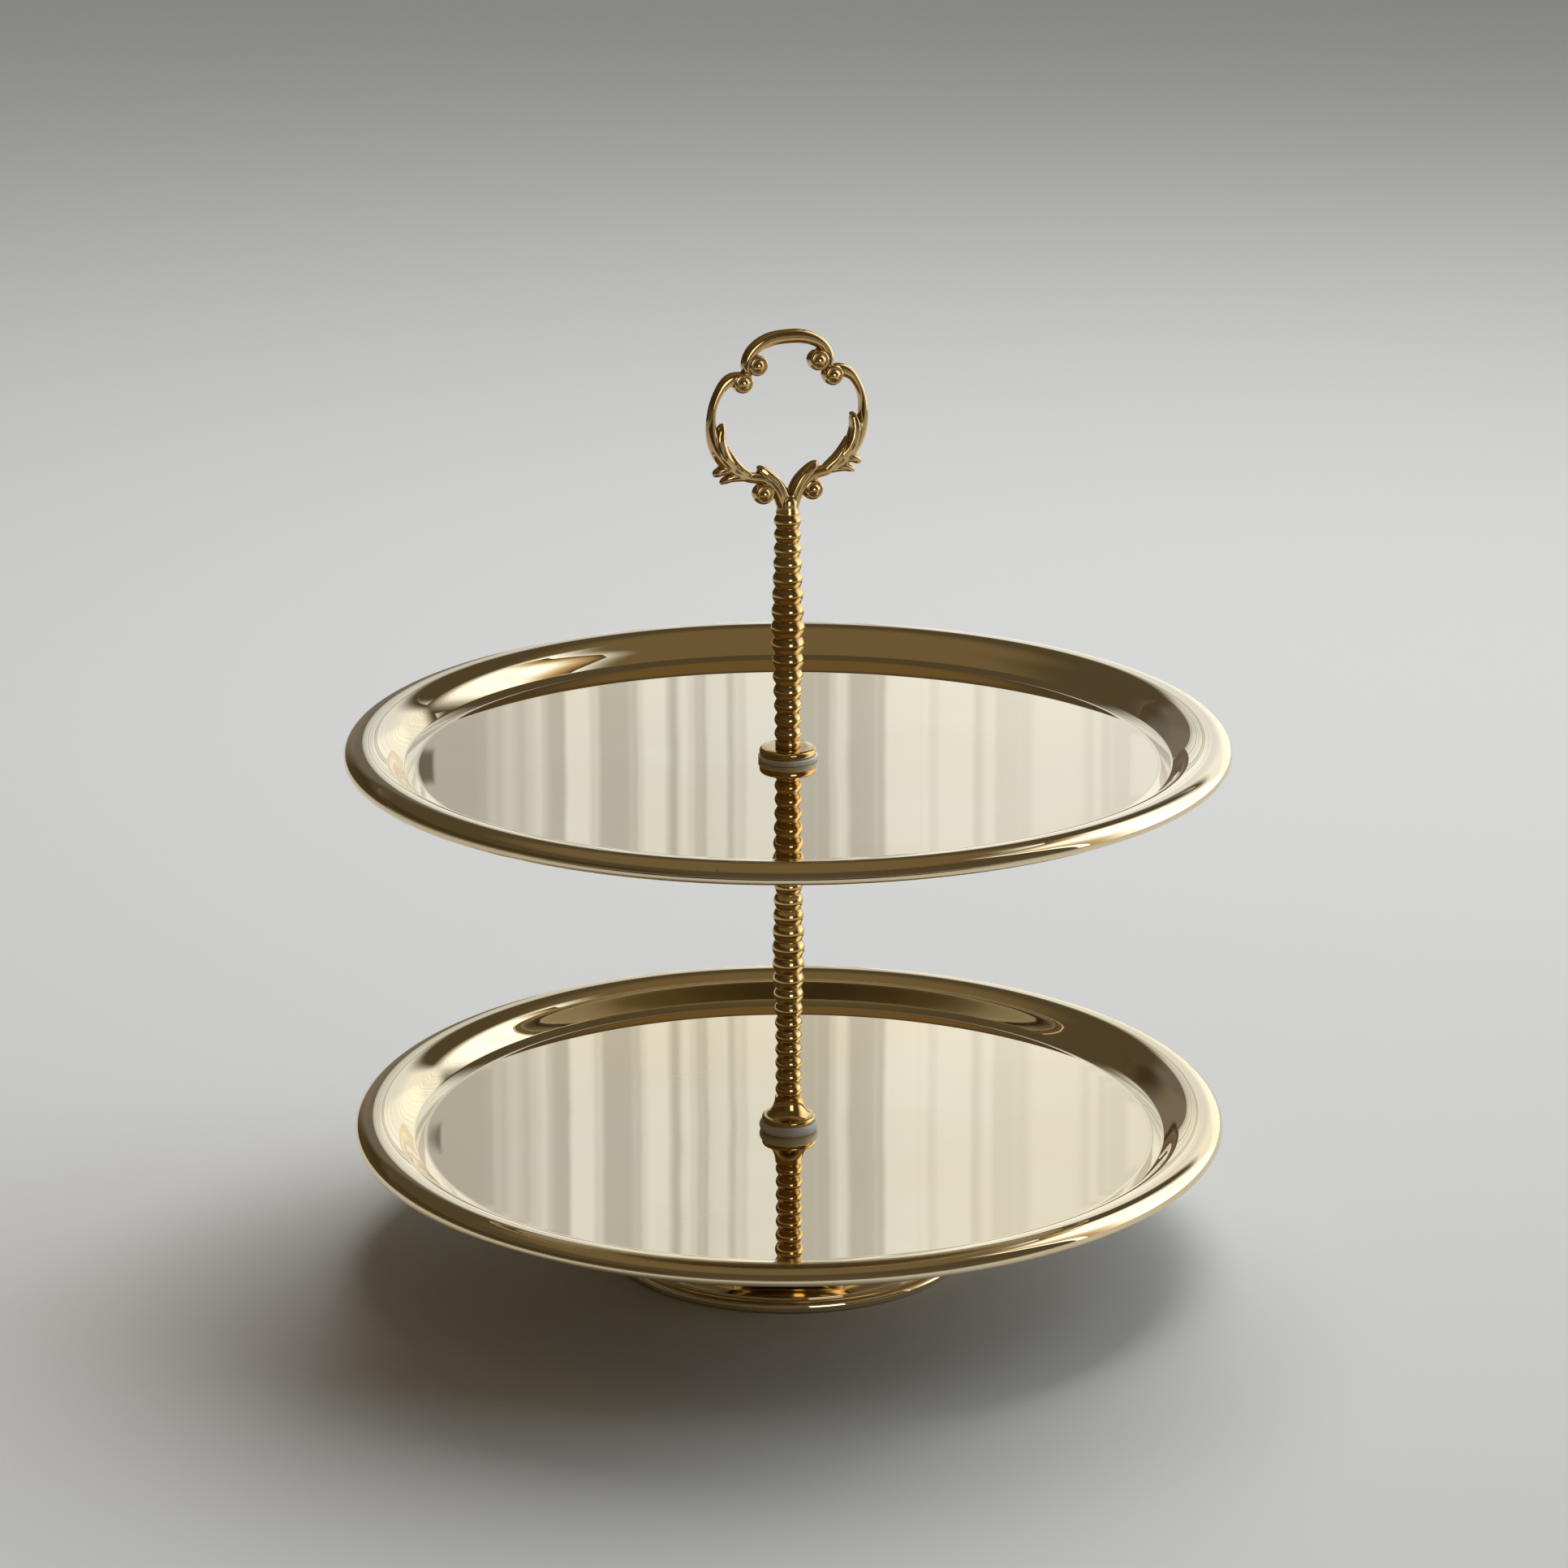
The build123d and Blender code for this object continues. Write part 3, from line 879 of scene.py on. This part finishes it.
# Handle: one casting of arms, leaves, scroll eyes and an arch, in (across, up, half width, half depth)
handle = dict(
    trunk=[(0, 0, 4.0, 4.0), (0, 2.0, 3.65, 3.7), (0, 4.6, 3.4, 3.4), (0, 6.4, 2.2, 2.6)],
    arm=[
        (1.9, 3.4, 2.0, 2.5), (4.4, 8.8, 2.0, 2.4), (8.8, 12.6, 2.0, 2.3), (14.5, 14.0, 1.9, 2.2),
        (20.6, 17.2, 2.1, 2.2), (25.2, 22.6, 2.0, 2.2), (27.35, 29.6, 1.75, 2.1), (27.0, 37.6, 1.25, 2.0),
        (24.3, 43.8, 1.5, 2.0), (20.8, 46.9, 2.2, 2.1), (16.8, 47.5, 2.1, 2.1), (13.9, 45.6, 1.4, 1.7),
    ],
    arch=[
        (14.2, 47.6, 1.0, 1.8), (15.2, 51.2, 1.25, 2.0), (13.9, 54.8, 1.7, 2.1), (10.6, 57.8, 2.1, 2.2),
        (5.6, 59.7, 2.4, 2.2), (0, 60.15, 2.45, 2.2),
    ],
    blade=[
        (0.9, 1.4, 2.2, 2.9), (1.9, 6.4, 2.1, 3.0), (4.2, 10.9, 2.1, 3.0), (7.6, 14.3, 1.9, 2.6),
        (9.6, 16.0, 1.45, 2.0), (10.6, 16.8, 0.9, 1.3),
    ],
    inner=[
        (18.6, 16.4, 1.8, 2.3), (22.8, 21.2, 2.2, 2.8), (24.5, 26.6, 2.0, 2.6), (24.0, 30.6, 1.5, 2.0),
        (23.3, 32.4, 0.8, 1.2),
    ],
    short=[(14.0, 14.4, 1.5, 2.4), (18.2, 17.8, 1.7, 2.5), (20.6, 21.6, 1.2, 1.9), (21.5, 24.5, 0.5, 0.8)],
    outer=[(20.0, 17.2, 1.5, 2.3), (23.4, 16.9, 1.6, 2.4), (25.5, 16.1, 1.4, 2.0), (26.5, 15.5, 0.9, 1.2)],
    lower=[(15.6, 14.0, 1.5, 2.3), (20.0, 14.2, 1.5, 2.3), (22.8, 13.4, 1.2, 1.8), (24.2, 12.6, 0.6, 0.9)],
    leafGroove=0.10,   # share of a leaf's depth
    bud=(0, 7.7, 1.3),
    eyes=[(8.9, 7.7), (16.25, 45.9), (11.0, 51.3)],
    eyeOutline=[
        (0, 3.55), (1.1, 3.25), (1.85, 2.6), (2.15, 2.25), (2.5, 2.45), (3.05, 2.3), (3.5, 1.4), (3.65, 0),
    ],
    squareness=2.5,    # 2 is an oval section, more is squarer
    voxel=0.23,
    smoothing=8,
)


def spline(stations, steps):
    points = np.array(stations, float)
    padded = np.vstack([2 * points[0] - points[1], points, 2 * points[-1] - points[-2]])
    rows = []
    for k in range(len(points) - 1):
        a, b, c, d = padded[k:k + 4]
        for t in np.linspace(0, 1, steps, endpoint=False):
            bend = (2 * a - 5 * b + 4 * c - d) * t**2 + (3 * b - a - 3 * c + d) * t**3
            rows.append(0.5 * (2 * b + (c - a) * t + bend))
    return np.array(rows + [points[-1]])


# A limb along its stations, with rounded closed ends
def addLimb(work, stations, squareness, groove=0, sides=28, steps=9):
    rows = spline(stations, steps)
    rows[:, 2:] = np.maximum(rows[:, 2:], 0.2)
    heading = np.gradient(rows[:, :2], axis=0)
    heading /= np.linalg.norm(heading, axis=1)[:, None]
    rings = []
    for (x, z, wide, deep), (hx, hz) in zip(rows, heading):
        ring = []
        for k in range(sides):
            a = math.tau * k / sides
            c, s = math.cos(a), math.sin(a)
            u = math.copysign(abs(c) ** (2 / squareness), c)
            v = math.copysign(abs(s) ** (2 / squareness), s)
            v *= 1 - groove * math.exp(-((u / 0.34) ** 2))
            ring.append(work.verts.new((x - hz * u * wide, v * deep, z + hx * u * wide)))
        rings.append(ring)
    for first, second in zip(rings, rings[1:]):
        for k in range(sides):
            n = (k + 1) % sides
            work.faces.new((first[k], first[n], second[n], second[k]))
    for ring, row, sign in ((rings[0], 0, -1), (rings[-1], -1, 1)):
        x, z, wide, deep = rows[row]
        hx, hz = heading[row]
        tip = work.verts.new((x + sign * hx * wide * 0.7, 0, z + sign * hz * wide * 0.7))
        for k in range(sides):
            work.faces.new((ring[k], ring[(k + 1) % sides], tip))


# A scroll eye: a small dome in a raised ring, the same front and back
def addEye(work, across, up, outline, steps=40):
    half = spline([(r, y, 0, 0) for r, y in outline], 5)[:, :2]
    run = [tuple(p) for p in half] + [(r, -y) for r, y in half[-2::-1]]
    rings = []
    for r, y in run[1:-1]:
        turns = [math.tau * k / steps for k in range(steps)]
        rings.append([work.verts.new((across + r * math.cos(a), y, up + r * math.sin(a))) for a in turns])
    poles = [work.verts.new((across, run[0][1], up)), work.verts.new((across, run[-1][1], up))]
    for first, second in zip(rings, rings[1:]):
        for k in range(steps):
            n = (k + 1) % steps
            work.faces.new((first[k], first[n], second[n], second[k]))
    for pole, ring in zip(poles, (rings[0], rings[-1])):
        for k in range(steps):
            work.faces.new((ring[k], ring[(k + 1) % steps], pole))


# How far each point lies below its neighbours, for the darkening in the hollows
def markHollows(mesh, rounds=5):
    count = len(mesh.vertices)
    place = np.empty(count * 3)
    mesh.vertices.foreach_get("co", place)
    place = place.reshape(-1, 3)
    normal = np.empty(count * 3)
    mesh.vertices.foreach_get("normal", normal)
    normal = normal.reshape(-1, 3)
    edges = np.empty(len(mesh.edges) * 2, np.int64)
    mesh.edges.foreach_get("vertices", edges)
    a, b = edges.reshape(-1, 2).T
    degree = np.bincount(np.r_[a, b], minlength=count)

    def around(values):
        total = np.bincount(a, values[b], count) + np.bincount(b, values[a], count)
        return total / degree

    mean = np.c_[[around(place[:, k]) for k in range(3)]].T
    reach = np.linalg.norm(place[a] - place[b], axis=1).mean()
    hollow = ((mean - place) * normal).sum(1) / reach
    for _ in range(rounds):
        hollow = 0.5 * hollow + 0.5 * around(hollow)
    spread = np.percentile(np.abs(hollow), 98)
    layer = mesh.attributes.new("hollow", "FLOAT", "POINT")
    layer.data.foreach_set("value", np.clip(hollow / spread, -1, 1).astype(np.float32))


def mirrored(rows, side):
    return [(side * x, z, wide, deep) for x, z, wide, deep in rows]


def makeHandle(name, node, h):
    low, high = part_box(node)
    work = bmesh.new()
    addLimb(work, h["trunk"], 2.0, sides=36)
    for side in (1, -1):
        addLimb(work, mirrored(h["arm"], side), h["squareness"])
        for leaf in ("blade", "inner", "short", "outer", "lower"):
            addLimb(work, mirrored(h[leaf], side), 2.2, h["leafGroove"])
        for across, up in h["eyes"]:
            addEye(work, side * across, up, h["eyeOutline"])
    arch = h["arch"] + mirrored(h["arch"][-2::-1], -1)
    addLimb(work, arch, h["squareness"])
    bmesh.ops.create_uvsphere(
        work, u_segments=24, v_segments=16, radius=h["bud"][2],
        matrix=Matrix.Translation((h["bud"][0], 0, h["bud"][1])),
    )
    bmesh.ops.recalc_face_normals(work, faces=work.faces)
    rough = bpy.data.meshes.new(name + "Rough")
    work.to_mesh(rough)
    work.free()
    holder = bpy.data.objects.new(name + "Holder", rough)
    bpy.context.scene.collection.objects.link(holder)
    remesh = holder.modifiers.new("cast", "REMESH")
    remesh.mode = "VOXEL"
    remesh.voxel_size = h["voxel"]
    smooth = holder.modifiers.new("polish", "SMOOTH")
    smooth.iterations = h["smoothing"]
    smooth.factor = 0.5
    depsgraph = bpy.context.evaluated_depsgraph_get()
    mesh = bpy.data.meshes.new_from_object(holder.evaluated_get(depsgraph))
    mesh.name = name
    bpy.data.objects.remove(holder)
    mesh.transform(Matrix.Translation((0, 0, low.z)) @ Matrix.Scale(mm, 4))
    bottom = low.z
    for vertex in mesh.vertices:
        vertex.co.z = max(vertex.co.z, bottom)
    cleaned(mesh)
    markHollows(mesh)
    return setPiece(name, mesh, node, handleGold)


scrollHandle = makeHandle("scrollHandle", "handle", handle)
print("handle cast:", len(scrollHandle.data.polygons), "faces")


# Camera where the photograph was taken from; the picture is square
shot = dict(
    lens=107.65,
    around=-23.5,      # degrees round the post
    distance=1524.1,   # level distance to the post
    height=627.1,
    pitch=-16.783,
    yaw=0.0516,        # small turn that sets the post right of the middle, degrees
    roll=-0.129,
)


def makeCamera(s):
    camera = bpy.data.objects.new("camera", bpy.data.cameras.new("camera"))
    bpy.context.scene.collection.objects.link(camera)
    camera.data.lens = s["lens"]
    camera.data.clip_start = 0.05
    camera.data.clip_end = 60
    around = Matrix.Rotation(math.radians(s["around"]), 4, "Z")
    stand = Matrix.Translation((0, -s["distance"] * mm, s["height"] * mm))
    look = Matrix.Rotation(math.radians(s["yaw"]), 4, "Z")
    tilt = Matrix.Rotation(math.radians(90 + s["pitch"]), 4, "X")
    roll = Matrix.Rotation(math.radians(s["roll"]), 4, "Z")
    camera.matrix_world = around @ stand @ look @ tilt @ roll
    bpy.context.scene.camera = camera


makeCamera(shot)


# Studio: pale floor, a bright screen that is low behind and tall at the right, a dim warm side in front
studio = dict(
    floorColour=(0.66, 0.66, 0.655, 1),
    floorRadius=7.0,
    backdrop=(0.80, 0.81, 0.82, 1),
    screenPath=[(-3.0, 1.6), (1.2, 1.6), (1.5, 1.5), (1.7, 1.2), (1.75, 0.8), (1.75, -0.40)],
    screenHeight=1.1,
    sideHeight=3.2,
    backFade=(0.86, 1.08),   # heights at which the screen fades out
    sideWarm=(2.3, 2.9),
    sideFade=(2.8, 3.2),
    edge=(0.47, 0.50, 0.54, 1),
    soft=(0.78, 0.86, 0.97, 1),
    bright=(0.85, 0.93, 1.04, 1),
    far=(1.05, 1.12, 1.19, 1),
    side=(1.55, 1.75, 1.95, 1),
    tail=(0.55, 0.40, 0.22, 1),
    lowTint=(1.23, 1.19, 1.10, 1),
    shade=(0.155, 0.145, 0.135, 1),
    wall=(0.09, 0.075, 0.05, 1),
    dark=(0.055, 0.042, 0.022, 1),
    middle=(0.085, 0.068, 0.042, 1),
    ceiling=(0.165, 0.126, 0.068, 1),
    glow=(0.11, 0.095, 0.07, 1),
    # painted shade: colour of the glowing card that the metal reflects in front
    paintedShadeCard=(0.05, 0.042, 0.03, 1),
    cardBox=[(-1.7, -2.6), (1.0, -0.7)],
    cardLift=0.0005,
    overhead=36.0,
    sparkle=3.6,
)


def makeFloor(s):
    work = bmesh.new()
    bmesh.ops.create_circle(work, cap_ends=True, segments=128, radius=s["floorRadius"])
    mesh = bpy.data.meshes.new("floor")
    work.to_mesh(mesh)
    work.free()
    floor = bpy.data.objects.new("floor", mesh)
    floor.location.z = -0.0001
    bpy.context.scene.collection.objects.link(floor)
    material, w, place = startMaterial("floorPale")
    cloud = noise(w, place, 3.0, 2.0)
    endMaterial(
        w,
        {"Base Color": s["floorColour"], "Specular IOR Level": 0.0},
        {"Roughness": 0.5 + 0.1 * cloud},
    )
    mesh.materials.append(material)


# Light of the screen: dim at its left edge, brighter to the right, with soft upright folds
def screenLight(w, along, s):
    folds = w.node(
        "ShaderNodeTexNoise",
        {"noise_dimensions": "1D"},
        {"W": along, "Scale": 30.0, "Detail": 2.5},
    )
    start = 0.5 * along.smooth(-0.212, -0.197) + 0.5 * along.smooth(-0.176, -0.162)
    lit = mixColour(w, start, s["edge"], s["soft"])
    lit = mixColour(w, along.smooth(0.0, 0.12), lit, s["bright"])
    lit = mixColour(w, along.smooth(0.29, 0.70), lit, s["far"])
    lit = mixColour(w, along.smooth(1.2, 1.6), lit, s["side"])
    depth = 0.86 - 0.62 * along.smooth(0.025, 0.16)
    lit = mixColour(w, depth * folds.smooth(0.45, 0.58), lit, s["edge"])
    beyond = mixColour(w, along.smooth(-1.1, -0.6), s["dark"], s["shade"])
    return mixColour(w, along.smooth(-0.242, -0.238), beyond, lit)


def makeScreen(s, heading):
    rows = softRun(np.array(s["screenPath"]) * 100, 4, 6) / 100
    work = bmesh.new()
    low = [work.verts.new((x, y, 0.0)) for x, y in rows]
    rise = np.interp(rows[:, 0], (1.0, 1.5), (s["screenHeight"], s["sideHeight"]))
    high = [work.verts.new((x, y, z)) for (x, y), z in zip(rows, rise)]
    for k in range(len(rows) - 1):
        work.faces.new((low[k], low[k + 1], high[k + 1], high[k]))
    mesh = bpy.data.meshes.new("screen")
    work.to_mesh(mesh)
    work.free()
    screen = bpy.data.objects.new("screen", mesh)
    bpy.context.scene.collection.objects.link(screen)
    screen.rotation_euler.z = math.radians(heading)
    screen.visible_camera = False
    screen.visible_diffuse = False
    screen.visible_shadow = False
    material, w, place = startMaterial("screenCloth")
    along = w.node("ShaderNodeSeparateXYZ", None, {"Vector": place})
    up = along.part(2)
    low = 1 - up.smooth(0.50, 0.68)
    cloth = w.node(
        "ShaderNodeMix",
        {"data_type": "RGBA", "blend_type": "MULTIPLY"},
        {"Factor": low, 6: screenLight(w, along, s), 7: s["lowTint"]},
        output=2,
    )
    cloth = mixColour(w, 1 - along.part(1).smooth(-0.40, 0.35), cloth, s["tail"])
    side = along.smooth(1.0, 1.5)
    cloth = mixColour(w, up.smooth(*s["sideWarm"]) * side, cloth, s["tail"])
    fade = up.smooth(*s["backFade"]) * (1 - side) + up.smooth(*s["sideFade"]) * side
    cloth = mixColour(w, fade, cloth, s["middle"])
    glow = w.node("ShaderNodeEmission", None, {"Color": cloth})
    w.node("ShaderNodeOutputMaterial", None, {"Surface": glow})
    mesh.materials.append(material)


# A dark glowing card on the floor in front, seen only in the metal: painted shade standing in for the
# shaded floor in front, in the reflections
def makeCard(s, heading):
    (left, front), (right, back) = s["cardBox"]
    mesh = bpy.data.meshes.new("paintedShadeCard")
    corners = [(left, front), (right, front), (right, back), (left, back)]
    mesh.from_pydata([(x, y, s["cardLift"]) for x, y in corners], [], [(0, 1, 2, 3)])
    paintedShadeCard = bpy.data.objects.new("paintedShadeCard", mesh)
    bpy.context.scene.collection.objects.link(paintedShadeCard)
    paintedShadeCard.rotation_euler.z = math.radians(heading)
    paintedShadeCard.visible_camera = False
    paintedShadeCard.visible_diffuse = False
    paintedShadeCard.visible_shadow = False
    material, w, place = startMaterial("paintedShadeCardGlow")
    glow = w.node("ShaderNodeEmission", None, {"Color": s["paintedShadeCard"]})
    w.node("ShaderNodeOutputMaterial", None, {"Surface": glow})
    mesh.materials.append(material)


def makeWorld(s, heading):
    world = bpy.data.worlds.new("studio")
    bpy.context.scene.world = world
    world.use_nodes = True
    tree = world.node_tree
    tree.nodes.clear()
    w = Wire(tree)
    place = w.node("ShaderNodeTexCoord", output="Generated")
    axes = w.node("ShaderNodeSeparateXYZ", None, {"Vector": place})
    a = math.radians(heading)
    back = axes * -math.sin(a) + axes.part(1) * math.cos(a)
    right = axes * math.cos(a) + axes.part(1) * math.sin(a)
    turn = w.sum("ARCTAN2", right, back)
    level = axes.part(2)
    side = turn.smooth(0.65, 0.85)
    top = (1 - level.smooth(0.40, 0.50)) * (1 - side) + (1 - level.smooth(0.80, 0.90)) * side
    window = turn.smooth(-0.144, -0.140) * (1 - turn.smooth(1.79, 1.82)) * top
    nearLeft = turn.smooth(-0.9, -0.5) * (1 - turn.smooth(0, 0.1))
    farLeft = turn.smooth(-2.95, -2.4) * (1 - turn.smooth(-0.9, -0.5))
    low = mixColour(w, farLeft, s["wall"], s["dark"])
    low = mixColour(w, nearLeft, low, s["shade"])
    light = mixColour(w, level.smooth(0.38, 0.50), low, s["middle"])
    light = mixColour(w, level.smooth(0.70, 0.88), light, s["ceiling"])
    band = (1 - level.smooth(0.08, 0.12)) * (1 - nearLeft)
    light = mixColour(w, band, light, s["glow"])
    along = turn.sum("TANGENT", turn.between(-1, 1)) * 1.6
    light = mixColour(w, window, light, screenLight(w, along, s))
    seen = w.node("ShaderNodeLightPath", output="Is Camera Ray")
    colour = mixColour(w, seen, light, s["backdrop"])
    background = w.node("ShaderNodeBackground", None, {"Color": colour, "Strength": 1.0})
    w.node("ShaderNodeOutputWorld", None, {"Surface": background})


# An area lamp; one with receivers lights nothing else
def makeLamp(name, energy, size, place, glossy, receivers=None):
    lamp = bpy.data.lights.new(name, "AREA")
    lamp.energy = energy
    lamp.size = size
    obj = bpy.data.objects.new(name, lamp)
    bpy.context.scene.collection.objects.link(obj)
    obj.location = place
    aim = Vector((0, 0, 0.15)) - Vector(place)
    obj.rotation_euler = aim.to_track_quat("-Z", "Y").to_euler()
    obj.visible_glossy = glossy
    if receivers:
        linked = bpy.data.collections.new(name + "Receivers")
        for piece in receivers:
            linked.objects.link(piece)
        obj.light_linking.receiver_collection = linked


makeFloor(studio)
makeScreen(studio, shot["around"])
makeCard(studio, shot["around"])
makeWorld(studio, shot["around"])
turn = Matrix.Rotation(math.radians(shot["around"]), 3, "Z")
makeLamp("overhead", studio["overhead"], 1.4, turn @ Vector((0.4, 0.9, 2.0)), False)
turned = [upperPost, lowerPost, upperCollar, supportCollar, lowerCollar, scrollHandle, spunFoot]
makeLamp("sparkle", studio["sparkle"], 0.68, turn @ Vector((0.70, -1.65, 0.5)), True, turned)
bpy.context.scene.view_settings.view_transform = "Standard"
print("studio set")
